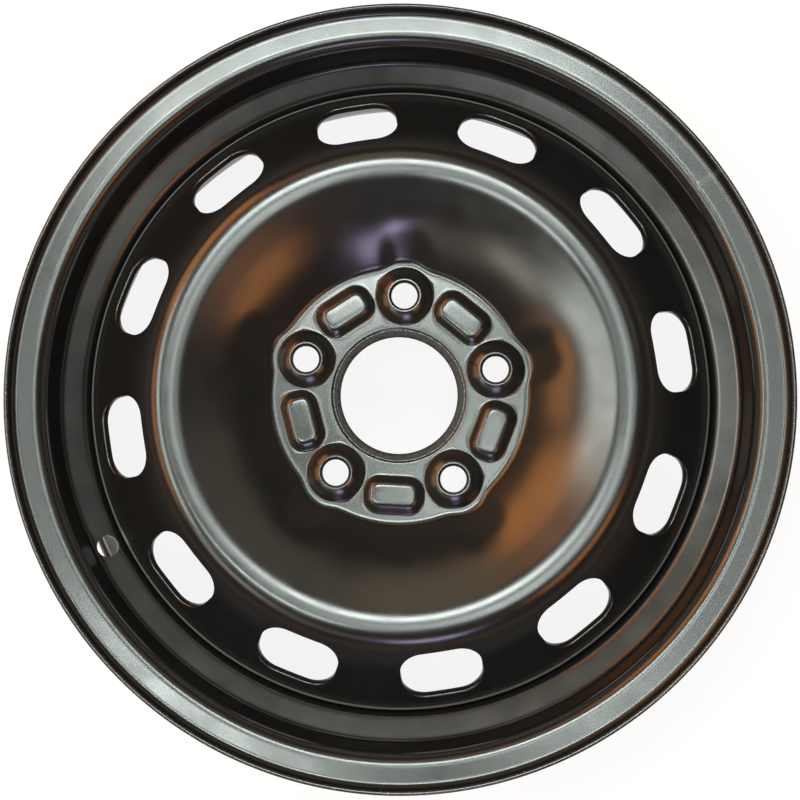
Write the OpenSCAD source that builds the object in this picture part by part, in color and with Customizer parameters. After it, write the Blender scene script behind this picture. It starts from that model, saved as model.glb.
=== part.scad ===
// Pressed-steel road wheel without its tyre: a rolled drop-centre rim, a stamped and ventilated
// disc pressed into the rim's well, and the fillet welds that join the two.
// Sizes are in millimetres and angles in degrees. The wheel's axis is Z, the outboard face looks
// along +Z, and Z = 0 is the face of the disc that bears on the hub.

/* [Rim] */
// Bead seat diameter at the foot of the flange, tyre side
bead_diameter = 380.2; // [360:0.1:400]
// Width between the tyre-side faces of the two flanges
rim_width = 152.4; // [140:0.1:190]
// Distance of the hub face outboard of the rim's middle
wheel_offset = 52.5; // [44:0.5:56]
// Thickness of the rim's sheet
rim_sheet = 2.4; // [1.8:0.1:3]
// Height of the flanges above the bead seat
flange_height = 17.5; // [15:0.1:20]
// Reach of the flange lip beyond the flange's outer face
lip_reach = 8.6; // [7:0.1:11]
// Bend radius of the lip, at the middle of the sheet
lip_round = 4.6; // [3:0.1:6]
// Bend radius at the foot of the flange, at the middle of the sheet
heel_round = 6.5; // [4:0.1:9]
// Taper of the bead seats
seat_taper = 5; // [3:0.5:7]
// Distance of the hump's crest from the flange face
hump_reach = 26.7; // [25:0.1:29]
// Length of the seat side of the hump
hump_run = 6; // [4:0.5:9]
// Height of the hump above the bead seat
hump_height = 1.2; // [0.6:0.1:2]
// Bend radius at the hump's foot and crest, at the middle of the sheet
hump_round = 5; // [3:0.5:6]
// Depth of the well below the bead seat diameter, tyre side
well_depth = 17.7; // [15:0.1:20]
// Lean of the well's outboard wall along the axis
well_lean = 6; // [3:0.5:7]
// Bend radius at the foot of the well's outboard wall, at the middle of the sheet
well_round = 6; // [4:0.5:7]
// Length of the well's floor
well_floor = 37; // [36:0.5:44]
// Bend radius where the ramp leaves the well's floor, at the middle of the sheet
ramp_round = 20; // [10:1:40]

/* [Valve hole] */
// Diameter of the valve hole
valve_hole = 11.5; // [9:0.1:13]
// Angle of the valve hole round the wheel
valve_angle = 207.2; // [0:0.1:360]
// Height of the valve hole's centre up the well's wall, from the wall's foot
valve_height = 7.4; // [6:0.1:9]

/* [Disc] */
// Thickness of the disc's sheet
disc_sheet = 3.6; // [3:0.1:4.5]
// Radius at which the flat hub plate would meet the bowl
plate_radius = 69.8; // [68:0.1:72]
// Bend radius between the hub plate and the bowl, at the middle of the sheet
plate_round = 8.9; // [5:0.1:10]
// Radius at which the bowl's lower slope would meet its upper slope
bowl_radius = 88; // [85:0.5:91]
// Height of the bowl there above the hub face, at the middle of the sheet
bowl_height = 15.1; // [13.5:0.1:16.5]
// Radius at which the bowl's upper slope would meet the crest
brow_radius = 116.7; // [115.5:0.1:118]
// Radius at which the crest would meet the vent cone
crest_radius = 131.6; // [130.5:0.1:133]
// Height of the crest's front above the hub face
crest_height = 28; // [26.5:0.5:29.5]
// Bend radius between the crest and the vent cone, at the middle of the sheet
crest_round = 18; // [12:1:20]
// Depth behind the hub face at which the vent cone would meet the skirt
shoulder_depth = 5.9; // [4.5:0.1:8]
// Bend radius between the vent cone and the skirt, at the middle of the sheet
shoulder_round = 7; // [5:0.5:9]
// Depth of the skirt's inboard end behind the hub face
skirt_depth = 36; // [32:0.5:40]
// Clearance of the skirt in the well before welding, on the radius
skirt_clearance = 0.05; // [0:0.05:0.2]

/* [Centre bore] */
// Diameter of the centre bore
bore_diameter = 63.4; // [56:0.1:66]
// Width of the bevelled land round the bore
land_width = 3.7; // [2:0.1:4]
// Fall of the land from its outer edge to the bore
land_fall = 0.5; // [0.2:0.1:1]
// Width of the rolled edge between the hub plate and the land
roll_width = 1.7; // [1:0.1:2]
// Depth of the rolled edge
roll_depth = 0.8; // [0.5:0.1:1.2]

/* [Nut bosses] */
// Number of nut bosses, with a pad between each two
boss_count = 5; // [4:1:5]
// Diameter of the bolt circle
bolt_circle = 108; // [104:0.1:112]
// Angle of the first boss round the wheel
boss_angle = 14.8; // [0:0.1:72]
// Diameter of the holes for the wheel bolts
bolt_hole = 14; // [12:0.1:15]
// Diameter of the mouth of the conical nut seat
seat_mouth = 16.4; // [15.5:0.1:17]
// Included angle of the nut seat
seat_angle = 60; // [50:1:90]
// Diameter of a boss at its foot
boss_foot = 31.4; // [28:0.1:32]
// Diameter of a boss at its top
boss_top = 18; // [17.5:0.1:20]
// Height of a boss above the hub plate
boss_height = 4.2; // [3:0.1:5]

/* [Pads] */
// Length of a pad at its foot, round the wheel
pad_length = 32; // [28:0.5:33]
// Width of a pad at its foot, across the wheel
pad_width = 20.5; // [18:0.5:22]
// Distance of a pad's round corners from its centre, at its foot
pad_corner = 16.8; // [16.2:0.1:18]
// Length that the sloping sides of a pad take up, all round
pad_slope = 5; // [4:0.1:5.5]
// Height of a pad above the hub plate
pad_height = 3; // [2:0.1:4]

/* [Vents] */
// Number of vents
vent_count = 12; // [8:1:12]
// Angle of the first vent round the wheel
vent_angle = 8.8; // [0:0.1:45]
// Distance of the vents' centres from the axis
vent_radius = 148.5; // [147:0.5:151]
// Length of a vent, round the wheel
vent_length = 43.9; // [36:0.1:50]
// Width of a vent, along the vent cone
vent_width = 31; // [24:0.1:32]
// Corner radius of a vent
vent_round = 13; // [8:0.5:14]

/* [Welds] */
// Number of weld arcs
weld_count = 6; // [4:1:8]
// Angle that each arc takes up
weld_arc = 34; // [20:1:40]
// Leg of the fillet weld
weld_leg = 3.2; // [2:0.1:3.4]
// Bulge of the weld's face beyond a straight fillet
weld_bulge = 0.5; // [0:0.1:1]

/* [Hidden] */
$fn = 144;
// Steps in each bend of a sheet, and in each corner of a rounded outline
bend_steps = 8;
corner_steps = 7;
// Overlap of joined solids, and reach of cutters past the metal
lap = 1;
// Length of a piercing cutter, in thicknesses of the sheet that it pierces
pierce = 6;
// Share of its room that each of the bowl's bends takes, leaving a short straight run beside it
bend_share = 0.97;
e_coat = [0.07, 0.07, 0.075];
weld_metal = [0.1, 0.1, 0.105];

// Rim, in radius and height
middle_z = -wheel_offset;
bead_r = bead_diameter / 2;
lip_r = bead_r + flange_height - rim_sheet / 2;
heel_r = bead_r - rim_sheet / 2;
flange_u = rim_width / 2 + rim_sheet / 2;
hump_u = rim_width / 2 - hump_reach;
well_r = bead_r - well_depth - rim_sheet / 2;
well_inner_r = well_r - rim_sheet / 2;
wall_foot_u = hump_u - well_lean;

// Disc, in radius and height
plate_z = disc_sheet / 2;
crest_z = crest_height - disc_sheet / 2;
skirt_outer_r = well_inner_r - skirt_clearance;
skirt_r = skirt_outer_r - disc_sheet / 2;
skirt_end_z = -skirt_depth;
bore_r = bore_diameter / 2;
land_r = bore_r + land_width;
bolt_r = bolt_circle / 2;
vent_slope = atan((crest_z + shoulder_depth) / (skirt_r - crest_radius));
bowl_slope = atan((bowl_height - plate_z) / (bowl_radius - plate_radius));
brow_slope = atan((crest_z - bowl_height) / (brow_radius - bowl_radius));

// The bowl's two bends are the widest that the straight runs beside them leave room for
brow_room = crest_radius - brow_radius - crest_round * tan(vent_slope / 2);
brow_round = bend_share * brow_room / tan(brow_slope / 2);
bowl_room = min(
    norm([bowl_radius - plate_radius, bowl_height - plate_z]) - plate_round * tan(bowl_slope / 2),
    norm([brow_radius - bowl_radius, crest_z - bowl_height]) - brow_room
);
bowl_round = bend_share * bowl_room / tan((bowl_slope - brow_slope) / 2);

// A sheet is a path of corners [radius, height, bend radius] along its middle surface
function spot(corner) = [corner[0], corner[1]];
function unit(v) = v / norm(v);
function left(v) = [-v[1], v[0]];
function backwards(list) = [for (i = [len(list) - 1:-1:0]) list[i]];

// Points round one corner of a path, moved sideways to the left of it
function bend(before, corner, after, side) =
    let (
        into = unit(spot(corner) - spot(before)),
        out = unit(spot(after) - spot(corner)),
        way = cross(into, out) < 0 ? -1 : 1,
        sweep = acos(into * out),
        start = spot(corner) - into * corner[2] * tan(sweep / 2),
        centre = start + left(into) * way * corner[2],
        spoke = corner[2] - way * side
    )
    [
        for (step = [0:bend_steps])
            let (turn = way * sweep * step / bend_steps)
            centre - way * spoke * (left(into) * cos(turn) - into * sin(turn))
    ];

// One face of a sheet, with its ends square to the path
function face(path, side) =
    let (last = len(path) - 1)
    concat(
        [spot(path[0]) + left(unit(spot(path[1]) - spot(path[0]))) * side],
        [for (i = [1:last - 1]) each bend(path[i - 1], path[i], path[i + 1], side)],
        [spot(path[last]) + left(unit(spot(path[last]) - spot(path[last - 1]))) * side]
    );

// Closed section of a sheet of even thickness
function section(path, thickness) =
    concat(face(path, thickness / 2), backwards(face(path, -thickness / 2)));

// Outline of a rectangle with round corners, about its centre
function rounded_box(length, width, round) =
    [
        for (quarter = [0:3], step = [0:corner_steps])
            let (
                turn = 90 * (quarter + step / corner_steps),
                right_half = quarter == 0 || quarter == 3,
                upper_half = quarter < 2
            )
            [
                (right_half ? 1 : -1) * (length / 2 - round) + round * cos(turn),
                (upper_half ? 1 : -1) * (width / 2 - round) + round * sin(turn)
            ]
    ];

// Radius of the bead seat at a distance from the rim's middle
function seat_r(u) = heel_r - (flange_u - u) * tan(seat_taper);

// Flange, bead seat and hump on one side of the rim, from the lip inwards
function flange_path(way) =
    [
        [lip_r, middle_z + way * (flange_u + rim_sheet / 2 + lip_reach)],
        [lip_r, middle_z + way * flange_u, lip_round],
        [heel_r, middle_z + way * flange_u, heel_round],
        [seat_r(hump_u + hump_run), middle_z + way * (hump_u + hump_run), hump_round],
        [seat_r(hump_u) + hump_height, middle_z + way * hump_u, hump_round]
    ];

rim_path = concat(
    flange_path(1),
    [
        [well_r, middle_z + wall_foot_u, well_round],
        [well_r, middle_z + wall_foot_u - well_floor, ramp_round]
    ],
    backwards(flange_path(-1))
);

disc_path = [
    [bore_r, plate_z],
    [plate_radius, plate_z, plate_round],
    [bowl_radius, bowl_height, bowl_round],
    [brow_radius, crest_z, brow_round],
    [crest_radius, crest_z, crest_round],
    [skirt_r, -shoulder_depth, shoulder_round],
    [skirt_r, skirt_end_z]
];

// Lean of the well's outboard wall from square to the axis
wall_rise = seat_r(hump_u) + hump_height - well_r;
wall_angle = atan(well_lean / wall_rise);

module around(count, first) {
    for (i = [0:count - 1])
        rotate([0, 0, first + i * 360 / count]) children();
}

module valve_hole_cutter() {
    rotate([0, 0, valve_angle])
        translate([well_r + valve_height, 0, middle_z + wall_foot_u + valve_height * tan(wall_angle)])
            rotate([0, -wall_angle, 0])
                cylinder(d = valve_hole, h = pierce * rim_sheet, center = true);
}

module rim() {
    color(e_coat)
        difference() {
            rotate_extrude() polygon(section(rim_path, rim_sheet));
            valve_hole_cutter();
        }
}

// Rolled edge and bevelled land cut round the front of the bore
module bore_edge() {
    land_z = disc_sheet - roll_depth;
    polygon([
        [bore_r - lap, disc_sheet + lap],
        [land_r + roll_width, disc_sheet + lap],
        [land_r + roll_width, disc_sheet],
        [land_r, land_z],
        [bore_r, land_z - land_fall],
        [bore_r - lap, land_z - land_fall]
    ]);
}

// Hub plate, bowl, crest, vent cone and skirt before anything is pressed or pierced
module disc_blank() {
    rotate_extrude()
        difference() {
            polygon(section(disc_path, disc_sheet));
            bore_edge();
        }
}

// Cone of a boss, starting below its foot so that it joins or clears the plate
module boss_cone(foot_r) {
    slope = (boss_foot - boss_top) / 2 / boss_height;
    translate([0, 0, -lap])
        cylinder(r1 = foot_r + lap * slope, r2 = foot_r - boss_height * slope, h = boss_height + lap);
}

// Hole and nut seat of one boss
module nut_seat() {
    seat_depth = (seat_mouth - bolt_hole) / 2 / tan(seat_angle / 2);
    boss_face_z = disc_sheet + boss_height;
    translate([0, 0, -lap]) cylinder(d = bolt_hole, h = boss_face_z + 2 * lap);
    translate([0, 0, boss_face_z - seat_depth])
        cylinder(
            d1 = bolt_hole,
            d2 = seat_mouth + 2 * lap * tan(seat_angle / 2),
            h = seat_depth + lap
        );
}

// Ridge with sloping sides along Y, starting below its foot so that it joins or clears the plate
module pad_ridge(half_foot, length) {
    splay = lap * pad_slope / pad_height;
    rotate([90, 0, 0])
        linear_extrude(height = length, center = true)
            polygon([
                [-half_foot - splay, -lap],
                [half_foot + splay, -lap],
                [half_foot - pad_slope, pad_height],
                [pad_slope - half_foot, pad_height]
            ]);
}

// Raised form of a pad, on a foot that is smaller all round by an inset
module pad_form(inset) {
    splay = lap * pad_slope / pad_height;
    corner_r = pad_corner - inset;
    intersection() {
        pad_ridge(pad_width / 2 - inset, 2 * pad_length);
        rotate([0, 0, 90]) pad_ridge(pad_length / 2 - inset, 2 * pad_length);
        translate([0, 0, -lap])
            cylinder(r1 = corner_r + splay, r2 = corner_r - pad_slope, h = pad_height + lap);
    }
}

// How much smaller the hollow behind a pressed form is than the form, for an even sheet
function hollow_inset(rise, run) = disc_sheet * tan(atan(rise / run) / 2);

module vent_cutter() {
    vent_z = crest_z - (vent_radius - crest_radius) * tan(vent_slope);
    translate([vent_radius, 0, vent_z])
        rotate([0, vent_slope, 0])
            linear_extrude(height = pierce * disc_sheet, center = true)
                polygon(rounded_box(vent_width, vent_length, vent_round));
}

module disc() {
    boss_inset = hollow_inset(boss_height, (boss_foot - boss_top) / 2);
    pad_inset = hollow_inset(pad_height, pad_slope);
    pad_angle = boss_angle + 180 / boss_count;
    color(e_coat)
        difference() {
            union() {
                disc_blank();
                around(boss_count, boss_angle)
                    translate([bolt_r, 0, disc_sheet]) boss_cone(boss_foot / 2);
                around(boss_count, pad_angle)
                    translate([bolt_r, 0, disc_sheet]) pad_form(0);
            }
            around(boss_count, boss_angle)
                translate([bolt_r, 0, 0]) {
                    boss_cone(boss_foot / 2 - boss_inset);
                    nut_seat();
                }
            around(boss_count, pad_angle)
                translate([bolt_r, 0, 0]) pad_form(pad_inset);
            around(vent_count, vent_angle) vent_cutter();
        }
}

module weld_beads() {
    face_offset = weld_leg / 2 + weld_bulge / sqrt(2);
    color(weld_metal)
        around(weld_count, -weld_arc / 2)
            rotate_extrude(angle = weld_arc)
                polygon([
                    [well_inner_r, skirt_end_z],
                    [well_inner_r - weld_leg, skirt_end_z],
                    [well_inner_r - face_offset, skirt_end_z - face_offset],
                    [well_inner_r, skirt_end_z - weld_leg]
                ]);
}

rim();
disc();
weld_beads();
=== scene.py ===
"""Pressed-steel road wheel, black coated, seen straight down on its outboard face.

The rim and the disc are each grown ring by ring as one thin surface, given their thickness and
rounded at their cut edges. Lengths are in millimetres until they are placed in the mesh.
"""

import bisect
import math

import bmesh
import bpy
from mathutils import Matrix, Vector


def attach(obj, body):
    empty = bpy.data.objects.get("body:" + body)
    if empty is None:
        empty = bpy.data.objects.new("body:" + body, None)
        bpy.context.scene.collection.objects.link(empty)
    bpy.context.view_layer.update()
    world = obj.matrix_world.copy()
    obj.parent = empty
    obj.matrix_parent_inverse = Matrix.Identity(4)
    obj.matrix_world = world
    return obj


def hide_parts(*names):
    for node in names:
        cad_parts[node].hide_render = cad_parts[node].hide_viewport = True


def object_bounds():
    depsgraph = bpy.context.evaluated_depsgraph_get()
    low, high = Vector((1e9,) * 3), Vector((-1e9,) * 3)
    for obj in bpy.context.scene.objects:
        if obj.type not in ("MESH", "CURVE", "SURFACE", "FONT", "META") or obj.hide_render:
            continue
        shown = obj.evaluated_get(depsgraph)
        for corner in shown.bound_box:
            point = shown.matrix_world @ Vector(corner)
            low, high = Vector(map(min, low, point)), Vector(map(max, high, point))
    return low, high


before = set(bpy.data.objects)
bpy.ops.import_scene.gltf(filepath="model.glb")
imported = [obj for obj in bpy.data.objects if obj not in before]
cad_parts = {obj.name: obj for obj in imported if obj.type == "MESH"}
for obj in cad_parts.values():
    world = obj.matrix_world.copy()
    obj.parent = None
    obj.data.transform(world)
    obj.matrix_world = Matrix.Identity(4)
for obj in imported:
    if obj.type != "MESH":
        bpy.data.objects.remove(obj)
cad_low, cad_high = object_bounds()

MM = 0.001
# Points round a full ring
SPOKES = 360
# Degrees between the points of a bend and of a broad one, and the radius from which it is broad
BEND_STEP, BROAD_STEP, BROAD_ROUND = 7.0, 3.0, 25.0
# Distance between points on a straight run, and of its first one from a bend or a cut edge
RUN_STEP, NEAR_BEND, NEAR_EDGE = 14.0, 0.6, 1.3
# Runs shorter than the first get no points, and points closer than the second are one
NO_RUN, SAME_SPOT = 0.05, 0.01
# Points this close are merged when surfaces are joined, and edges sharper than this are rounded
MERGE_REACH, SHARP_ANGLE = 0.02, 45

# Rim: z is the height along the axis from the hub face, outboard positive, and u is the distance
# from the middle of the rim
RIM_SHEET = 2.4
RIM_MIDDLE = -52.5
LIP_R, HEEL_R, WELL_R = 206.4, 188.9, 171.2
FLANGE_U, FLANGE_LEAN, LIP_END_U = 77.4, 0.6, 87.2
HUMP_U, HUMP_RUN, HUMP_RISE = 49.5, 6.0, 1.2
SEAT_TAPER = math.tan(math.radians(5))
SEAT_FOOT_R = 186.0
WALL_FOOT_U, WELL_FLOOR = 43.5, 37.0
LIP_ROUND, HEEL_ROUND, HUMP_ROUND, WALL_ROUND, RAMP_ROUND = 4.6, 6.5, 5.0, 6.0, 20.0
LIP_EDGE, VALVE_EDGE = 1.15, 0.4
SEAM_TURN = math.radians(34.5)
VALVE_ANGLE, VALVE_R, VALVE_HOLE = 207.2, 178.6, 11.5
# The well's wall is remade round the valve hole between two places, given as radius and height,
# and over this many degrees to each side
WINDOW_TOP, WINDOW_FOOT, WINDOW_SWING = (187.2, 0.3), (170.6, -12.6), 4
# Width of the first ring round the hole, and the shares of the way from there to the window's edge
COLLAR, WINDOW_SPREAD = 0.5, (0.35, 0.7, 1.0)

# Disc
DISC_SHEET = 3.6
PLATE_R, BOWL_R, BROW_R, CREST_R, SKIRT_R = 69.8, 88.0, 119.0, 129.3, 168.15
PLATE_ROUND, BOWL_ROUND, BROW_ROUND, CREST_ROUND, SHOULDER_ROUND = 8.9, 140.0, 26.5, 14.0, 7.0
BOWL_Z, CREST_Z, SHOULDER_Z, SKIRT_END_Z = 14.7, 26.7, -5.9, -36.0
BORE_R, EYE_R = 31.7, 37.1
# Rolled edge and shallow land from the eye down to the bore, as radius and height
BORE_ROLL = ((36.75, 3.56), (36.4, 3.44), (36.05, 3.22), (35.7, 2.98), (35.45, 2.83), (35.3, 2.79))
BORE_LAND = ((33.6, 2.55), (BORE_R, 2.25))
BOSS_COUNT, VENT_COUNT = 5, 12
BOSS_PITCH = 360 / BOSS_COUNT
BOLT_R, BOSS_ANGLE, BOSS_FOOT, BOSS_TOP, BOSS_HEIGHT = 54.0, 14.8, 15.7, 9.0, 4.2
NUT_HOLE_R, NUT_SEAT_R, NUT_SEAT_DEPTH = 7.0, 8.2, 2.08
PAD_HALF_WIDTH, PAD_HALF_LENGTH, PAD_CORNER = 10.25, 16.5, 8.6
PAD_SLOPE, PAD_HEIGHT = 4.3, 3.0
# Fillets round the top and the foot of a pressing, on the front and on the back
PAD_BROW, FOOT_FILLET, BACK_BROW, BACK_FILLET = 1.4, 0.4, 0.6, 0.9
# The plate's edge swells outwards round each boss, and the swelling fades out up the bowl
SWELL, SWELL_SWING, SWELL_END_R, SWELL_FADE = 3.6, 8.4, 96.0, 22.0
VENT_ANGLE, VENT_R = 8.8, 148.5
VENT_HALF_WIDTH, VENT_HALF_LENGTH, VENT_CORNER = 15.5, 21.95, 13.0
VENT_SLOPE = math.atan2(CREST_Z - SHOULDER_Z, SKIRT_R - CREST_R)
VENT_EDGE, DISC_EDGE = 0.9, 0.45
# Radii at which the disc's zones meet, and the room that a zone's rings leave beside them
PLATE_END, VENT_ZONE_START, VENT_ZONE_END, ZONE_GAP = 66.8, 131.0, 166.2, 0.3
# Half the angle of the sectors that are repeated, and their steps from the inside outwards
BOSS_SECTOR, PAD_SECTOR, VENT_SECTOR = 17, 19, 15
PLATE_RUNGS, VENT_RUNGS = 12, 14
# Shares of the way from the last ring of a pressing or vent to the outline of its sector
SPREAD = (0.3, 0.65, 1.0)
# Outlines are searched for out to here from their middle
RAY_REACH = 200.0
# Degrees between the points of the line that heights are read from, and its lowest point
FINE_STEP, READ_END_Z = 0.4, -4.0

# Welds
WELD_COUNT, WELD_ARC, WELD_LEG, WELD_BULGE = 6, 34.0, 3.2, 0.5
WELD_STEPS, WELD_RIPPLES, RIPPLE_HEIGHT = 96, 46, 0.16
# A weld's corner lies this far inside the steel, and its end is never thinner than the second
WELD_SINK, WELD_END = 0.1, 0.35
WELL_INNER_R = WELL_R - RIM_SHEET / 2


def lerp(a, b, share):
    return a + (b - a) * share


def polar(turn, radius):
    return radius * math.cos(math.radians(turn)), radius * math.sin(math.radians(turn))


def smooth_max(a, b, reach):
    """The larger of two heights, with a fillet where they are within reach of each other."""
    blend = max(reach - abs(a - b), 0) / reach
    return max(a, b) + blend * blend * reach / 4


def smooth_min(a, b, reach):
    return -smooth_max(-a, -b, reach)


def bend(before, corner, after, side, step):
    """Points round one corner of a path every few degrees, moved sideways to the left of it."""
    at = Vector(corner[:2])
    into = (at - Vector(before[:2])).normalized()
    out = (Vector(after[:2]) - at).normalized()
    way = -1 if into.cross(out) < 0 else 1
    sweep = math.acos(into.dot(out))
    left = Vector((-into.y, into.x))
    centre = at - into * corner[2] * math.tan(sweep / 2) + left * way * corner[2]
    spoke = corner[2] - way * side
    steps = max(3, math.ceil(sweep / math.radians(step)))
    points = []
    for i in range(steps + 1):
        turn = way * sweep * i / steps
        points.append(centre - way * spoke * (left * math.cos(turn) - into * math.sin(turn)))
    return points


def sheet_face(path, side, step=BEND_STEP):
    """One face of a sheet, with points close to both ends of each straight run and along it."""
    first, second = Vector(path[0][:2]), Vector(path[1][:2])
    last, previous = Vector(path[-1][:2]), Vector(path[-2][:2])
    start, end = (second - first).normalized(), (last - previous).normalized()
    runs = [[first + Vector((-start.y, start.x)) * side]]
    for before, corner, after in zip(path, path[1:], path[2:]):
        bend_step = step if corner[2] < BROAD_ROUND else BROAD_STEP
        runs.append(bend(before, corner, after, side, bend_step))
    runs.append([last + Vector((-end.y, end.x)) * side])
    points = []
    for run in runs:
        if points:
            gap = run[0] - points[-1]
            near = min(NEAR_EDGE if len(points) == 1 else NEAR_BEND, gap.length / 4)
            far = min(NEAR_EDGE if run is runs[-1] else NEAR_BEND, gap.length / 4)
            pieces = max(1, round(gap.length / RUN_STEP))
            begin, way = points[-1], gap.normalized()
            inner = gap.length - near - far
            if gap.length > NO_RUN:
                points += [begin + way * (near + inner * k / pieces) for k in range(pieces + 1)]
        points += run if not points or (run[0] - points[-1]).length > SAME_SPOT else run[1:]
    return [(p.x, p.y) for p in points]


def seat_r(u):
    return HEEL_R - (FLANGE_U - u) * SEAT_TAPER


def flange_path(way):
    """Lip, flange, bead seat and hump on one side of the rim, from the lip inwards."""
    return [
        (LIP_R, RIM_MIDDLE + way * LIP_END_U),
        (LIP_R, RIM_MIDDLE + way * (FLANGE_U + FLANGE_LEAN), LIP_ROUND),
        (HEEL_R, RIM_MIDDLE + way * FLANGE_U, HEEL_ROUND),
        (seat_r(HUMP_U + HUMP_RUN), RIM_MIDDLE + way * (HUMP_U + HUMP_RUN), HUMP_ROUND),
        (seat_r(HUMP_U) + HUMP_RISE, RIM_MIDDLE + way * HUMP_U, HUMP_ROUND),
    ]


RIM_PATH = [
    *flange_path(1),
    (WELL_R, RIM_MIDDLE + WALL_FOOT_U, WALL_ROUND),
    (WELL_R, RIM_MIDDLE + WALL_FOOT_U - WELL_FLOOR, RAMP_ROUND),
    *reversed(flange_path(-1)),
]
DISC_PATH = [
    (BORE_R, DISC_SHEET / 2),
    (PLATE_R, DISC_SHEET / 2, PLATE_ROUND),
    (BOWL_R, BOWL_Z, BOWL_ROUND),
    (BROW_R, CREST_Z, BROW_ROUND),
    (CREST_R, CREST_Z, CREST_ROUND),
    (SKIRT_R, SHOULDER_Z, SHOULDER_ROUND),
    (SKIRT_R, SKIRT_END_Z),
]


# Modelling moves


def start_ring(name, spots):
    """A new object in edit mode: a closed ring of edges through the spots, selected."""
    bpy.ops.object.select_all(action="DESELECT")
    bpy.ops.mesh.primitive_circle_add(vertices=len(spots), radius=1, fill_type="NOTHING")
    piece = bpy.context.object
    piece.name = piece.data.name = name
    order = piece.data.attributes.new("spoke", "INT", "POINT")
    for i, spot in enumerate(spots):
        order.data[i].value = i
        piece.data.vertices[i].co = Vector(spot) * MM
    bpy.ops.object.mode_set(mode="EDIT")
    bpy.ops.mesh.select_all(action="SELECT")
    return piece


def grow(piece, spots):
    """Extrudes the selected ring of edges onto the next ring of spots."""
    bpy.ops.mesh.extrude_edges_move()
    edit = bmesh.from_edit_mesh(piece.data)
    spoke = edit.verts.layers.int["spoke"]
    for vertex in edit.verts:
        if vertex.select:
            vertex.co = Vector(spots[vertex[spoke]]) * MM
    bmesh.update_edit_mesh(piece.data)


def loft(name, rings):
    """A surface through rings of spots, as a new object that stays in edit mode."""
    piece = start_ring(name, rings[0])
    for ring in rings[1:]:
        grow(piece, ring)
    return piece


def repeat_round(count):
    """Turns copies of the whole mesh round the axis and joins them along their shared edges."""
    bpy.ops.mesh.select_all(action="SELECT")
    turn = 2 * math.pi * (count - 1) / count
    bpy.ops.mesh.spin(steps=count - 1, dupli=True, angle=turn, center=(0, 0, 0), axis=(0, 0, 1))


def leave_edit():
    bpy.ops.object.mode_set(mode="OBJECT")


def join(pieces, name):
    """Joins surfaces into one mesh and welds the rings that they share."""
    bpy.ops.object.select_all(action="DESELECT")
    for piece in pieces:
        piece.select_set(True)
    bpy.context.view_layer.objects.active = pieces[0]
    bpy.ops.object.join()
    whole = bpy.context.object
    whole.name = whole.data.name = name
    bpy.ops.object.mode_set(mode="EDIT")
    bpy.ops.mesh.select_all(action="SELECT")
    bpy.ops.mesh.remove_doubles(threshold=MERGE_REACH * MM)
    bpy.ops.mesh.normals_make_consistent(inside=False)
    leave_edit()
    return whole


def apply(piece, kind, **settings):
    modifier = piece.modifiers.new(kind.title(), kind)
    for key, value in settings.items():
        setattr(modifier, key, value)
    bpy.context.view_layer.objects.active = piece
    bpy.ops.object.modifier_apply(modifier=modifier.name)


def round_edges(piece, width, segments, chosen):
    """Rounds the sharp edges of which both ends are chosen by their radius and height."""
    bpy.context.view_layer.objects.active = piece
    bpy.ops.object.mode_set(mode="EDIT")
    bpy.ops.mesh.select_mode(type="EDGE")
    bpy.ops.mesh.select_all(action="DESELECT")
    edit = bmesh.from_edit_mesh(piece.data)
    for e in edit.edges:
        if e.is_manifold and e.calc_face_angle() > math.radians(SHARP_ANGLE):
            ends = [v.co / MM for v in e.verts]
            e.select_set(all(chosen(math.hypot(c.x, c.y), c.z) for c in ends))
    bmesh.update_edit_mesh(piece.data)
    bpy.ops.mesh.bevel(offset=width * MM, segments=segments, affect="EDGES", clamp_overlap=False)
    bpy.ops.mesh.select_mode(type="VERT")
    leave_edit()


def flip_if(piece, wrong):
    if wrong:
        bpy.context.view_layer.objects.active = piece
        bpy.ops.object.mode_set(mode="EDIT")
        bpy.ops.mesh.select_all(action="SELECT")
        bpy.ops.mesh.flip_normals()
        leave_edit()


def circle(radius, height, first):
    """Spots on a level circle round the axis, from a first angle in degrees."""
    return [(*polar(first + 360 * i / SPOKES, radius), height) for i in range(SPOKES)]


def rounded_box(a, b, half_a, half_b, corner):
    """Distance of a point outside a rectangle with round corners, less than zero inside."""
    over_a, over_b = abs(a) - half_a + corner, abs(b) - half_b + corner
    outside = math.hypot(max(over_a, 0), max(over_b, 0))
    return outside + min(max(over_a, over_b), 0) - corner


def halving(holds, far):
    """The largest distance, up to the far one, at which a test still holds."""
    near = 0.0
    for _ in range(50):
        middle = (near + far) / 2
        if holds(middle):
            near = middle
        else:
            far = middle
    return near


def on_ray(way, distance, level):
    """The point on a ray from the middle of an outline at which its distance is the level."""
    length = math.hypot(*way)
    a, b = way[0] / length, way[1] / length
    near = halving(lambda out: distance(a * out, b * out) < level, RAY_REACH)
    return a * near, b * near


def sector_edge(half_angle, inner_r, outer_r, across, along):
    """Outline of a sector of a ring, as angle in degrees and radius, anticlockwise from one corner."""
    edge = [(lerp(-half_angle, half_angle, i / across), outer_r) for i in range(across)]
    edge += [(half_angle, lerp(outer_r, inner_r, i / along)) for i in range(along)]
    edge += [(lerp(half_angle, -half_angle, i / across), inner_r) for i in range(across)]
    edge += [(-half_angle, lerp(inner_r, outer_r, i / along)) for i in range(along)]
    return edge


# Rim


def nearest(line, spot):
    return min(range(len(line)), key=lambda i: math.dist(line[i], spot))


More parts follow.
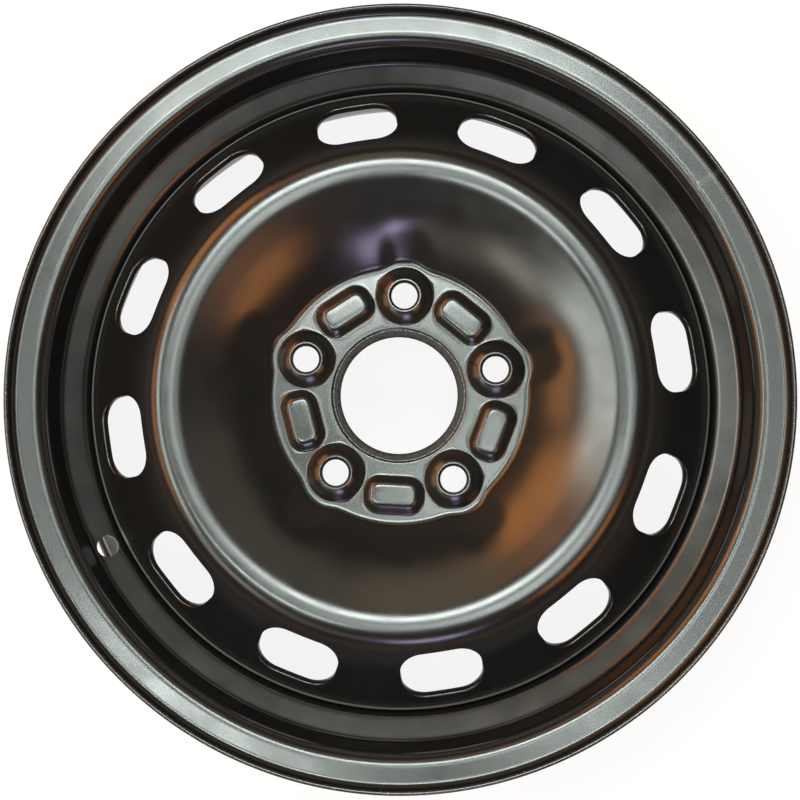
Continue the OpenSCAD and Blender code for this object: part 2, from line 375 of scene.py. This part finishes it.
def open_window(hoop, wall):
    """Deletes the faces of the well's wall round the valve hole."""
    (top_r, top_z), (foot_r, foot_z) = wall[0], wall[-1]
    edit = bmesh.from_edit_mesh(hoop.data)
    bpy.ops.mesh.select_all(action="DESELECT")
    valve_way = Vector((*polar(VALVE_ANGLE, 1.0), 0.0))
    for f in edit.faces:
        middle = f.calc_center_median() / MM
        inside = foot_r < math.hypot(middle.x, middle.y) < top_r and foot_z < middle.z < top_z
        swing = math.degrees(valve_way.angle(Vector((middle.x, middle.y, 0.0))))
        f.select_set(inside and swing < WINDOW_SWING)
    bmesh.update_edit_mesh(hoop.data)
    bpy.ops.mesh.delete(type="FACE")


def make_window(wall):
    """The wall's sheet again with the valve hole in it, as rings of angle and length down the wall."""
    along = [0.0]
    for p, q in zip(wall, wall[1:]):
        along.append(along[-1] + math.dist(p, q))

    def at(length):
        i = min(max(bisect.bisect_left(along, length) - 1, 0), len(along) - 2)
        share = (length - along[i]) / (along[i + 1] - along[i])
        return [lerp(wall[i][k], wall[i + 1][k], share) for k in (0, 1)]

    edge = [(turn, along[0]) for turn in range(-WINDOW_SWING, WINDOW_SWING)]
    edge += [(WINDOW_SWING, length) for length in along[:-1]]
    edge += [(turn, along[-1]) for turn in range(WINDOW_SWING, -WINDOW_SWING, -1)]
    edge += [(-WINDOW_SWING, length) for length in along[:0:-1]]
    tenths = [tenth * 0.1 for tenth in range(int(along[-1] * 10))]
    middle = min(tenths, key=lambda length: abs(at(length)[0] - VALVE_R))
    middle_r, middle_z = at(middle)
    lean = math.atan2(WALL_FOOT_U - HUMP_U, seat_r(HUMP_U) + HUMP_RISE - WELL_R)

    def hole_spot(turn, radius):
        """A point round the hole, seen along its axis."""
        side, up = radius * math.sin(turn), radius * math.cos(turn)

        def above(length):
            r, z = at(length)
            x = math.sqrt(r * r - side * side)
            return (x - middle_r) * math.cos(lean) - (z - middle_z) * math.sin(lean) > up

        length = halving(above, along[-1])
        return math.degrees(math.asin(side / at(length)[0])), length

    turns = [math.atan2(math.radians(a) * middle_r, middle - length) for a, length in edge]
    hole_r = VALVE_HOLE / 2
    hole, collar = [[hole_spot(t, radius) for t in turns] for radius in (hole_r, hole_r + COLLAR)]
    loops = [hole, collar]
    for share in WINDOW_SPREAD:
        loops.append([[lerp(p[k], q[k], share) for k in (0, 1)] for p, q in zip(collar, edge)])
    rings = []
    for loop in loops:
        ring = []
        for turn, length in loop:
            r, z = at(length)
            ring.append((*polar(VALVE_ANGLE + turn, r), z))
        rings.append(ring)
    return loft("valve_window", rings)


def make_rim():
    face = sheet_face(RIM_PATH, -RIM_SHEET / 2)
    hoop = loft("rim", [circle(r, z, VALVE_ANGLE) for r, z in face])
    wall = face[nearest(face, WINDOW_TOP) : nearest(face, WINDOW_FOOT) + 1]
    open_window(hoop, wall)
    leave_edit()
    window = make_window(wall)
    leave_edit()
    hoop = join([hoop, window], "rim_hoop")
    ramp_z = RIM_MIDDLE - 20
    ramp = min(hoop.data.polygons, key=lambda p: abs(p.center.z / MM - ramp_z))
    flip_if(hoop, ramp.normal.dot(ramp.center - Vector((0, 0, ramp.center.z))) > 0)
    apply(hoop, "SOLIDIFY", thickness=RIM_SHEET * MM, offset=-1, use_even_offset=True)
    round_edges(hoop, LIP_EDGE, 5, lambda r, z: r > LIP_R - 2)
    round_edges(hoop, VALVE_EDGE, 2, lambda r, z: r < SEAT_FOOT_R)
    return hoop


# Disc

# Front face as radius and height, in rings and as a fine line to read heights from
FRONT = sheet_face(DISC_PATH, DISC_SHEET / 2)
FRONT_FINE = sheet_face(DISC_PATH, DISC_SHEET / 2, FINE_STEP)
FRONT_R, FRONT_Z = zip(*[p for p in FRONT_FINE if p[1] > READ_END_Z])
BOSS_RISE = BOSS_HEIGHT / (BOSS_FOOT - BOSS_TOP)
PAD_RISE = PAD_HEIGHT / PAD_SLOPE


def front_z(radius):
    """Height of the front face at a radius, out to the vent cone's end."""
    if radius <= PLATE_END:
        return DISC_SHEET
    i = bisect.bisect_left(FRONT_R, radius)
    return lerp(FRONT_Z[i - 1], FRONT_Z[i], (radius - FRONT_R[i - 1]) / (FRONT_R[i] - FRONT_R[i - 1]))


def from_line(turn):
    """Angle in degrees from the nearest of the bosses' lines, for an angle from one of them."""
    return (turn + BOSS_PITCH / 2) % BOSS_PITCH - BOSS_PITCH / 2


def boss_swing(x, y):
    return from_line(math.degrees(math.atan2(y, x)) - BOSS_ANGLE)


def swell(swing):
    """How far the plate's edge swells outwards at an angle from the nearest boss's line."""
    return SWELL * math.exp(-abs(swing / SWELL_SWING) ** 3)


def boss_distance(x, y):
    swing = math.radians(boss_swing(x, y))
    radius = math.hypot(x, y)
    return math.hypot(radius * math.cos(swing) - BOLT_R, radius * math.sin(swing))


def pad_distance(a, b):
    return rounded_box(a, b, PAD_HALF_WIDTH, PAD_HALF_LENGTH, PAD_CORNER)


def pad_local(x, y):
    """Place of a point outwards and sideways from the middle of the nearest pad."""
    from_boss = (math.degrees(math.atan2(y, x)) - BOSS_ANGLE) % BOSS_PITCH
    swing = math.radians(from_boss - BOSS_PITCH / 2)
    radius = math.hypot(x, y)
    return radius * math.cos(swing) - BOLT_R, radius * math.sin(swing)


def hub_front(x, y):
    """Height of the plate's front with its domed bosses and its pads."""
    share = (boss_distance(x, y) - BOSS_TOP) / (BOSS_FOOT - BOSS_TOP)
    dome = BOSS_HEIGHT * (1 - share * (0.6 + 0.4 * share))
    slope = -pad_distance(*pad_local(x, y)) * PAD_RISE
    pad = smooth_min(PAD_HEIGHT, slope, PAD_BROW)
    boss = smooth_max(0.0, dome, FOOT_FILLET)
    return DISC_SHEET + smooth_max(boss, pad, FOOT_FILLET)


def hub_back(x, y):
    """Height of the hub plate's back, hollow behind the bosses and pads."""
    boss_inset = DISC_SHEET * math.tan(math.atan(BOSS_RISE) / 2)
    pad_inset = DISC_SHEET * math.tan(math.atan(PAD_RISE) / 2)
    cone = (BOSS_FOOT - boss_inset - boss_distance(x, y)) * BOSS_RISE
    boss = smooth_max(0.0, smooth_min(BOSS_HEIGHT, cone, BACK_BROW), BACK_FILLET)
    slope = -(pad_distance(*pad_local(x, y)) + pad_inset) * PAD_RISE
    return smooth_max(boss, smooth_min(PAD_HEIGHT, slope, BACK_BROW), BACK_FILLET)


def pressing(name, edge, rings, angle):
    """A sector of the hub plate: rings of local points, then out to the sector's own outline.

    A local point lies outwards and sideways from the bolt circle, and its height is the plate's
    where it is given as None.
    """
    turn = Matrix.Rotation(math.radians(angle), 2)
    placed = []
    for ring in rings:
        spots = []
        for a, b, z in ring:
            x, y = turn @ Vector((BOLT_R + a, b))
            spots.append((x, y, hub_front(x, y) if z is None else z))
        placed.append(spots)
    border = []
    for swing, radius in edge:
        out = (radius - EYE_R) / (PLATE_END - EYE_R)
        radius += out * swell(boss_swing(*polar(angle + swing, 1.0)))
        border.append(polar(angle + swing, radius))
    last = placed[-1]
    for share in SPREAD:
        ring = []
        for p, q in zip(last, border):
            x, y = lerp(p[0], q[0], share), lerp(p[1], q[1], share)
            ring.append((x, y, hub_front(x, y)))
        placed.append(ring)
    return loft(name, placed)


def plate_sector(half_angle):
    """Outline of a sector of the hub plate, and the ways to its points from the bolt circle."""
    edge = sector_edge(half_angle, EYE_R, PLATE_END, 2 * half_angle, PLATE_RUNGS)
    return edge, [Vector(polar(*p)) - Vector((BOLT_R, 0)) for p in edge]


def make_boss():
    """The conical nut seat and the flat round it, then the domed flank down to the plate."""
    edge, ways = plate_sector(BOSS_SECTOR)
    top = DISC_SHEET + BOSS_HEIGHT
    seat = [(NUT_HOLE_R, top - NUT_SEAT_DEPTH), (NUT_SEAT_R, top, 0.4), (BOSS_TOP, top, 0.9)]
    flank_way = (12.0, top - 1.2)
    flank = (10.3, 11.6, 12.9, 14.0, 14.7, 15.3, 15.8)
    profile = [(r, z) for r, z in sheet_face([*seat, flank_way], 0.0, 15.0) if r < 9.7]
    profile += [(r, None) for r in flank]
    rings = [[(*(w.normalized() * r), z) for w in ways] for r, z in profile]
    return pressing("boss", edge, rings, BOSS_ANGLE)


def make_pad():
    """Rings from the middle of a pad to beyond its foot, with the first one closed by a face."""
    edge, ways = plate_sector(PAD_SECTOR)
    levels = (-8.6, -6.4, -5.5, -4.9, -4.4, -3.9, -3.2, -1.9, -1.1, -0.6, -0.1, 0.6)
    rings = [[(*on_ray(w, pad_distance, level), None) for w in ways] for level in levels]
    piece = pressing("pad", edge, rings, BOSS_ANGLE + BOSS_PITCH / 2)
    edit = bmesh.from_edit_mesh(piece.data)
    edit.verts.ensure_lookup_table()
    bpy.ops.mesh.select_all(action="DESELECT")
    for vertex in edit.verts[: len(ways)]:
        vertex.select_set(True)
    edit.select_flush(True)
    bmesh.update_edit_mesh(piece.data)
    bpy.ops.mesh.edge_face_add()
    return piece


def make_vent():
    """A sector of the vent cone, pierced by one vent."""
    edge = sector_edge(VENT_SECTOR, VENT_ZONE_START, VENT_ZONE_END, 2 * VENT_SECTOR, VENT_RUNGS)
    sin, cos = math.sin(VENT_SLOPE), math.cos(VENT_SLOPE)
    centre_r = VENT_R + DISC_SHEET / 2 * sin

    def distance(a, b):
        return rounded_box(a, b, VENT_HALF_WIDTH, VENT_HALF_LENGTH, VENT_CORNER)

    ways = [((r - centre_r) / cos, r * math.sin(math.radians(t))) for t, r in edge]
    loops = []
    for level in (0.0, 1.2, 2.1):
        loop = []
        for way in ways:
            a, b = on_ray(way, distance, level)
            # The cone falls away to both sides of the vent's flat outline
            drop = 0.0
            for _ in range(6):
                x = centre_r + a * cos + drop * sin
                drop = -(math.hypot(x, b) - x) * sin
            loop.append((math.degrees(math.atan2(b, x)), math.hypot(x, b)))
        loops.append(loop)
    last = loops[-1]
    for share in SPREAD:
        loops.append([[lerp(p[k], q[k], share) for k in (0, 1)] for p, q in zip(last, edge)])
    rings = []
    for loop in loops:
        rings.append([(*polar(VENT_ANGLE + turn, r), front_z(r)) for turn, r in loop])
    return loft("vent", rings)


def bowl_ring(radius):
    """A ring round the plate and bowl; the swelling round each boss fades out up the bowl."""
    fade = min(max((SWELL_END_R - radius) / SWELL_FADE, 0), 1)
    share = fade * fade * (3 - 2 * fade)
    spots = []
    for i in range(SPOKES):
        turn = 360 * i / SPOKES
        out = radius + share * swell(from_line(turn))
        spots.append((*polar(BOSS_ANGLE + turn, out), front_z(radius)))
    return spots


def make_bowl():
    radii = [r for r, z in FRONT if PLATE_END + ZONE_GAP < r < VENT_ZONE_START - ZONE_GAP]
    return loft("bowl", [bowl_ring(r) for r in (PLATE_END, *radii, VENT_ZONE_START)])


def make_skirt():
    line = [(VENT_ZONE_END, front_z(VENT_ZONE_END))]
    line += [(r, z) for r, z in FRONT if r > VENT_ZONE_END + ZONE_GAP]
    return loft("skirt", [circle(r, z, BOSS_ANGLE) for r, z in line])


def make_eye():
    line = [(EYE_R, DISC_SHEET), *BORE_ROLL, *BORE_LAND]
    return loft("eye", [circle(r, z, BOSS_ANGLE) for r, z in line])


def thicken_disc(disc):
    """Gives the disc its sheet, with the hub plate's own back behind the bosses and pads."""
    fronts = [v.co / MM for v in disc.data.vertices]
    apply(disc, "SOLIDIFY", thickness=DISC_SHEET * MM, offset=-1, use_even_offset=True)
    backs = disc.data.vertices[len(fronts) : 2 * len(fronts)]
    for (x, y, _), back in zip(fronts, backs):
        if math.hypot(x, y) < PLATE_END + swell(boss_swing(x, y)) - 0.2:
            back.co = Vector((x, y, hub_back(x, y))) * MM


def make_disc():
    surfaces = []
    sectors = ((make_boss, BOSS_COUNT), (make_pad, BOSS_COUNT), (make_vent, VENT_COUNT))
    for make_sector, count in sectors:
        surfaces.append(make_sector())
        repeat_round(count)
        leave_edit()
    for make_zone in (make_bowl, make_skirt, make_eye):
        surfaces.append(make_zone())
        leave_edit()
    disc = join(surfaces, "disc_stamping")
    crest = max(disc.data.polygons, key=lambda p: p.center.z)
    flip_if(disc, crest.normal.z < 0)
    thicken_disc(disc)

    def on_vent_front(r, z):
        return VENT_ZONE_START < r < VENT_ZONE_END and abs(z - front_z(r)) < 0.3

    round_edges(disc, VENT_EDGE, 3, on_vent_front)
    round_edges(disc, DISC_EDGE, 2, lambda r, z: not on_vent_front(r, z))
    return disc


# Weld beads


def weld_ring(step):
    """Section of a weld at a step along it: its corner in the steel, then its rippled face."""
    share = step / WELD_STEPS
    turn = WELD_ARC * (share - 0.5)
    corner_r, corner_z = WELL_INNER_R + WELD_SINK, SKIRT_END_Z + WELD_SINK
    reach = WELD_LEG + WELD_BULGE * 0.4
    # Both ends are round, over the last twentieth of each half
    past = max(0.0, abs(2 * share - 1) - 0.95)
    ends = math.sqrt(max(0.0, 1 - past**2 / 0.0026))
    ring = [(*polar(turn, corner_r), corner_z)]
    for i in range(9):
        swing = math.radians(90 * i / 8)
        lag = 0.5 * math.sin(2 * swing)
        ripple = RIPPLE_HEIGHT * math.sin(2 * math.pi * (share * WELD_RIPPLES + lag))
        size = reach * (0.78 + 0.22 * math.cos(4 * (swing - math.pi / 4) + math.pi)) + ripple
        size = max(WELD_END, size * ends)
        place = polar(turn, corner_r - size * math.cos(swing))
        ring.append((*place, corner_z - size * math.sin(swing)))
    return ring


def make_welds():
    """Fillet arcs with the fine ripples of a run of weld."""
    bead = start_ring("weld_bead", weld_ring(0))
    bpy.ops.mesh.edge_face_add()
    bpy.ops.mesh.select_all(action="SELECT")
    bpy.ops.mesh.select_mode(type="EDGE")
    for step in range(1, WELD_STEPS + 1):
        grow(bead, weld_ring(step))
    bpy.ops.mesh.edge_face_add()
    repeat_round(WELD_COUNT)
    bpy.ops.mesh.select_mode(type="VERT")
    bpy.ops.mesh.select_all(action="SELECT")
    bpy.ops.mesh.normals_make_consistent(inside=False)
    leave_edit()
    return bead


def finish_piece(piece, node, material, angle):
    bpy.ops.object.select_all(action="DESELECT")
    piece.select_set(True)
    bpy.context.view_layer.objects.active = piece
    bpy.ops.object.shade_smooth_by_angle(angle=math.radians(angle))
    if "spoke" in piece.data.attributes:
        piece.data.attributes.remove(piece.data.attributes["spoke"])
    piece.data.materials.clear()
    piece.data.materials.append(material)
    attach(piece, "root")
    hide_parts(node)


# Materials


def new_material(name):
    material = bpy.data.materials.new(name)
    material.use_nodes = True
    tree = material.node_tree
    return material, tree, tree.nodes["Principled BSDF"]


def add(tree, kind, **settings):
    node = tree.nodes.new(kind)
    for key, value in settings.items():
        setattr(node, key, value)
    return node


def noise(tree, place, scale, detail):
    node = add(tree, "ShaderNodeTexNoise")
    node.inputs["Scale"].default_value = scale
    node.inputs["Detail"].default_value = detail
    tree.links.new(place.outputs["Object"], node.inputs["Vector"])
    return node.outputs["Fac"]


def between(tree, value, low, high, to_low=0.0, to_high=1.0):
    node = add(tree, "ShaderNodeMapRange")
    for name, number in (("From Min", low), ("From Max", high), ("To Min", to_low), ("To Max", to_high)):
        node.inputs[name].default_value = number
    tree.links.new(value, node.inputs["Value"])
    return node.outputs["Result"]


def bump(tree, height, strength, distance, below=None):
    node = add(tree, "ShaderNodeBump")
    node.inputs["Strength"].default_value = strength
    node.inputs["Distance"].default_value = distance * MM
    tree.links.new(height, node.inputs["Height"])
    if below:
        tree.links.new(below, node.inputs["Normal"])
    return node.outputs["Normal"]


def sum_up(tree, operation, first, second):
    """A math node on a socket and a number or another socket."""
    node = add(tree, "ShaderNodeMath", operation=operation)
    tree.links.new(first, node.inputs[0])
    if isinstance(second, (int, float)):
        node.inputs[1].default_value = second
    else:
        tree.links.new(second, node.inputs[1])
    return node.outputs[0]


def band(tree, value, start, end, soft):
    """One between two lengths, falling to nought over a soft edge inside each of them."""
    rising = between(tree, value, start * MM, (start + soft) * MM)
    falling = between(tree, value, end * MM, (end - soft) * MM)
    return sum_up(tree, "MULTIPLY", rising, falling)


def black_coat():
    """Satin black dip coat with a fine grain, worn where the wheel is handled and machined, with a
    painted highlight on the shoulder's edge and painted glints on the lips.
    """
    material, tree, shader = new_material("black_coat")
    place = add(tree, "ShaderNodeTexCoord")
    split = add(tree, "ShaderNodeSeparateXYZ")
    tree.links.new(place.outputs["Object"], split.inputs[0])
    x, y, z = split.outputs
    squares = [sum_up(tree, "POWER", along, 2.0) for along in (x, y)]
    radius = sum_up(tree, "POWER", sum_up(tree, "ADD", *squares), 0.5)
    turn = sum_up(tree, "ARCTAN2", y, x)

    # Bright specks on the two lips, partly coat rubbed off and partly painted glints
    from_middle = sum_up(tree, "ABSOLUTE", sum_up(tree, "SUBTRACT", z, RIM_MIDDLE * MM), 0.0)
    lip = between(tree, from_middle, 85.7 * MM, 86.8 * MM)
    rubbed_specks_and_glints = sum_up(tree, "MULTIPLY", lip, between(tree, noise(tree, place, 900, 3), 0.6, 0.7))
    # Painted highlight along the shoulder's outer edge, and the hoop's butt weld
    edge = band(tree, radius, 167.3, 169.0, 0.5)
    off_seam = sum_up(tree, "ABSOLUTE", sum_up(tree, "SUBTRACT", turn, SEAM_TURN), 0.0)
    across, along = between(tree, off_seam, 0.012, 0.004), between(tree, radius, 190 * MM, 193 * MM)
    seam = sum_up(tree, "MULTIPLY", across, along)
    # Dull machined land round the bore, mottled, with a lighter mottled ring where it ends
    land = between(tree, radius, 35.7 * MM, 35.3 * MM)
    mottle = between(tree, noise(tree, place, 700, 4), 0.35, 0.65)
    ring = sum_up(tree, "MULTIPLY", band(tree, radius, 35.0, 36.0, 0.3), mottle)
    spots = sum_up(tree, "MULTIPLY", land, mottle)

    # The base colour is lightened by real marks and by the painted highlight and glints above
    wear_and_painted_highlights = sum_up(tree, "MULTIPLY", edge, 0.38)
    for mask, share in ((rubbed_specks_and_glints, 0.4), (seam, 0.06), (spots, 0.07), (ring, 0.5)):
        wear_and_painted_highlights = sum_up(tree, "MAXIMUM", wear_and_painted_highlights, sum_up(tree, "MULTIPLY", mask, share))
    tree.links.new(between(tree, wear_and_painted_highlights, 0, 1, 0.007, 0.3), shader.inputs["Base Color"])
    shader.inputs["IOR"].default_value = 1.6
    rough = between(tree, noise(tree, place, 60, 3), 0.3, 0.7, 0.19, 0.24)
    rough = sum_up(tree, "MAXIMUM", rough, sum_up(tree, "MULTIPLY", land, 0.42))
    tree.links.new(rough, shader.inputs["Roughness"])
    tree.links.new(between(tree, land, 0, 1, 0.5, 0.16), shader.inputs["Specular IOR Level"])
    peel = bump(tree, noise(tree, place, 420, 2), 0.05, 0.12)
    grain = bump(tree, noise(tree, place, 1500, 2), 0.15, 0.06, peel)
    pits = bump(tree, sum_up(tree, "MULTIPLY", land, noise(tree, place, 900, 3)), 0.9, 0.3, grain)
    weld = bump(tree, seam, 0.3, 0.1, pits)
    tree.links.new(weld, shader.inputs["Normal"])
    return material


def weld_coat():
    material, tree, shader = new_material("weld_coat")
    place = add(tree, "ShaderNodeTexCoord")
    shader.inputs["Base Color"].default_value = (0.016, 0.016, 0.017, 1)
    shader.inputs["Roughness"].default_value = 0.38
    tree.links.new(bump(tree, noise(tree, place, 900, 3), 0.4, 0.1), shader.inputs["Normal"])
    return material


coat = black_coat()
finish_piece(make_rim(), "rim", coat, 40)
finish_piece(make_disc(), "disc", coat, 40)
finish_piece(make_welds(), "weld_beads", weld_coat(), 50)


# Floor, light and camera


def make_floor():
    bpy.ops.object.select_all(action="DESELECT")
    bpy.ops.mesh.primitive_plane_add(size=60, location=(0, 0, cad_low.z))
    floor = bpy.context.object
    floor.name = "floor"
    material, tree, shader = new_material("floor")
    shader.inputs["Roughness"].default_value = 0.9
    shader.inputs["Emission Color"].default_value = (1, 1, 1, 1)
    path = add(tree, "ShaderNodeLightPath")
    seen = path.outputs["Is Camera Ray"]
    for ray in ("Is Glossy Ray", "Is Transmission Ray"):
        seen = sum_up(tree, "MAXIMUM", seen, path.outputs[ray])
    tree.links.new(between(tree, seen, 0, 1, 0.8, 0.12), shader.inputs["Base Color"])
    tree.links.new(between(tree, seen, 0, 1, 0.0, 0.88), shader.inputs["Emission Strength"])
    floor.data.materials.append(material)


def panel(name, azimuth, zenith, size, colour):
    """A soft rectangular lamp that faces the wheel, placed by its direction from it.

    The colour is how bright the panel looks. Azimuth 0 is along +X, and zenith 0 is on the axis.
    """
    distance = 1.8
    across, down = polar(azimuth, math.sin(math.radians(zenith)))
    spot = Vector((across, down, math.cos(math.radians(zenith)))) * distance
    brightness = max(colour)
    data = bpy.data.lights.new(name, "AREA")
    data.shape = "RECTANGLE"
    data.size, data.size_y = size
    data.color = [c / brightness for c in colour]
    data.energy = brightness * math.pi * size[0] * size[1]
    lamp = bpy.data.objects.new(name, data)
    lamp.location = spot
    lamp.rotation_euler = (0, math.radians(zenith), math.radians(azimuth))
    bpy.context.scene.collection.objects.link(lamp)


def make_lights():
    world = bpy.data.worlds.new("studio")
    world.use_nodes = True
    tree = world.node_tree
    split = add(tree, "ShaderNodeSeparateXYZ")
    tree.links.new(add(tree, "ShaderNodeTexCoord").outputs["Generated"], split.inputs[0])
    # A warm room round the horizon and a dim ceiling above it
    room = add(tree, "ShaderNodeValToRGB")
    horizon, ceiling = room.color_ramp.elements
    horizon.color = (0.95, 0.72, 0.58, 1)
    ceiling.position = 0.5
    ceiling.color = (0.06, 0.056, 0.052, 1)
    room.color_ramp.elements.new(0.26).color = (0.32, 0.21, 0.14, 1)
    tree.links.new(split.outputs["Z"], room.inputs[0])
    tree.links.new(room.outputs["Color"], tree.nodes["Background"].inputs["Color"])
    bpy.context.scene.world = world
    # Sizes are along the zenith direction and across it
    panel("key", 99, 14, (0.28, 0.54), (26.5, 29.4, 28.0))
    panel("left", 179, 32.5, (0.26, 1.02), (10.0, 10.9, 9.9))
    panel("upper_left", 172, 17, (0.13, 0.36), (5.4, 6.0, 5.7))
    panel("overhead", 335, 3.5, (0.28, 0.32), (11.5, 12.9, 12.2))
    panel("low_left", 225, 13.5, (0.15, 0.34), (28.0, 31.0, 29.4))
    panel("low_right", 309, 12, (0.15, 0.22), (15.0, 16.6, 15.8))
    panel("right", 7, 15, (0.13, 0.74), (5.4, 6.0, 5.7))
    panel("warm_back", 140, 47, (0.68, 0.85), (5.2, 1.9, 0.45))
    panel("warm_left", 183, 51.5, (0.44, 0.95), (3.8, 1.6, 0.5))
    panel("warm_right", 324, 37, (0.46, 0.62), (4.2, 1.6, 0.45))
    panel("left_low", 221, 42, (0.32, 0.5), (4.2, 3.9, 3.2))
    panel("dim_back", 99, 38, (0.5, 0.76), (1.15, 0.88, 0.54))
    panel("dim_right", 45, 36, (0.5, 1.2), (0.6, 0.53, 0.38))
    panel("dim_low", 246, 47, (0.44, 0.7), (0.9, 0.75, 0.6))
    panel("violet", 276, 52, (0.4, 0.46), (5.4, 4.8, 7.2))


def make_camera():
    """Looks down the axis from a little below the middle and to the right of it."""
    tilt, swing, distance = math.radians(4.95), math.radians(1.4), 0.85
    aim = Vector((-0.0052, 0.0164, cad_high.z))
    data = bpy.data.cameras.new("camera")
    data.lens = 73.1
    data.shift_x, data.shift_y = 0.015, -0.05
    camera = bpy.data.objects.new("camera", data)
    camera.rotation_euler = (tilt, swing, 0)
    back = camera.rotation_euler.to_matrix() @ Vector((0, 0, distance))
    camera.location = aim + back
    bpy.context.scene.collection.objects.link(camera)
    bpy.context.scene.camera = camera


make_floor()
make_lights()
make_camera()
bpy.context.scene.view_settings.view_transform = "Standard"
